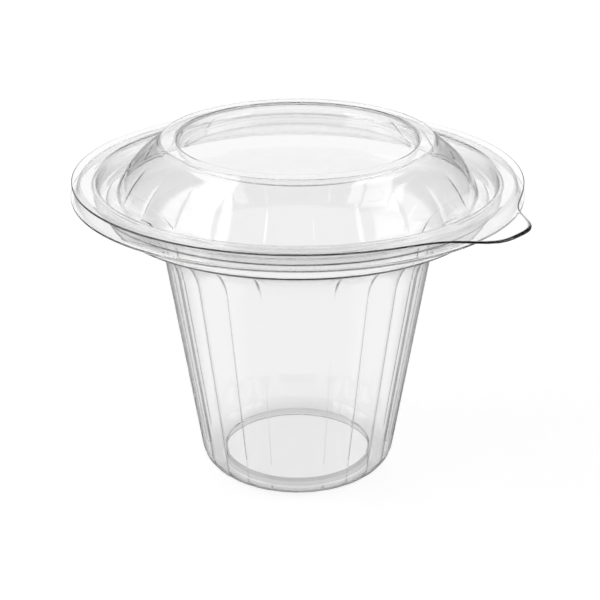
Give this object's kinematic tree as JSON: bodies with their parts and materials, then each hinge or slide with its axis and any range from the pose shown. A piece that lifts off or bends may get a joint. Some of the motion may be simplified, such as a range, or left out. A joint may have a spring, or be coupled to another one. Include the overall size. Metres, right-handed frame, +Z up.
{
  "type": "lidded dessert cup",
  "caption": "Clear plastic dessert cup with fluted tapered walls, a wide flared rim and a plug-in domed lid with a pull tab and a recessed top.",
  "frame": {"origin": "centre of the cup's foot ring, on the surface that it stands on", "axes": "+Z up along the cup's axis; the camera of the picture looks along +Y, with +X to its right; the lid's pull tab points between +X and -Y"},
  "size_m": [0.1106, 0.1106, 0.0874],
  "materials": {
    "cup_sheet": "clear glossy thermoformed plastic sheet",
    "lid_sheet": "clear glossy thermoformed plastic sheet"
  },
  "bodies": {
    "cup": {"cup": "cup_sheet"},
    "lid": {"lid": "lid_sheet"}
  },
  "joints": [
    {"name": "lid_lift", "type": "slide", "parent": "cup", "child": "lid", "axis": [0, 0, 1], "range_m": [0, 0.03]}
  ]
}
